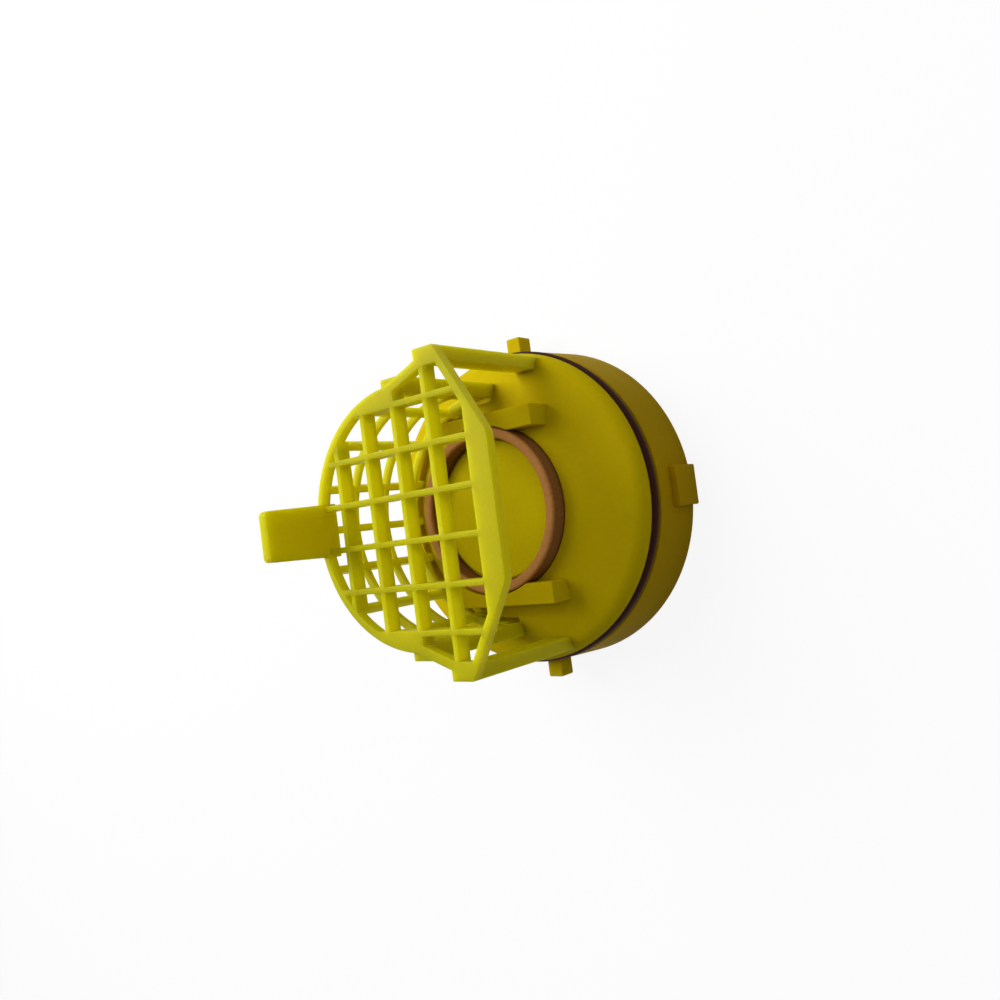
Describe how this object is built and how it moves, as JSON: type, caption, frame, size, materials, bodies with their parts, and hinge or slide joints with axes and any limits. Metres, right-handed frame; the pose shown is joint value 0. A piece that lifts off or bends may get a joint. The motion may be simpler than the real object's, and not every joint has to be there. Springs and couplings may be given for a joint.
{
  "type": "queen cage",
  "caption": "Round sealed drum with a pull-out stopper and an open-sided mesh basket with straps and a finger tab, for holding and feeding a queen bee.",
  "frame": {"origin": "centre of the flat back face of the drum, on which the cage stands", "axes": "+Z along the drum's axis from the back cap to the basket's grid, -X towards the finger tab, +X towards the basket's open side, +Y and -Y towards the straps and pins"},
  "size_m": [0.042, 0.045, 0.038],
  "materials": {
    "drum_yellow": "moulded yellow plastic with a soft gloss",
    "basket_yellow": "moulded yellow-green plastic with a soft gloss",
    "seal_brown": "dark brown rubber",
    "ring_copper_brown": "copper-brown rubber",
    "candy": "matt white sugar paste"
  },
  "bodies": {
    "drum_back": {"back_cap": "drum_yellow", "candy_cake": "candy"},
    "drum_front": {"front_shell": "drum_yellow", "main_seal": "seal_brown"},
    "stopper_plug": {"stopper": "drum_yellow", "stopper_seal": "ring_copper_brown"},
    "basket": {"cage_basket": "basket_yellow"}
  },
  "joints": [
    {"name": "drum_twist", "type": "hinge", "parent": "drum_back", "child": "drum_front", "pos_m": [0, 0, 0.00845], "axis": [0, 0, 1], "range_deg": [0, 60]},
    {"name": "stopper_pull", "type": "slide", "parent": "drum_front", "child": "stopper_plug", "axis": [0, 0, 1], "range_m": [0, 0.009]},
    {"name": "basket_lift", "type": "slide", "parent": "drum_front", "child": "basket", "axis": [0, 0, 1], "range_m": [0, 0.016]}
  ]
}
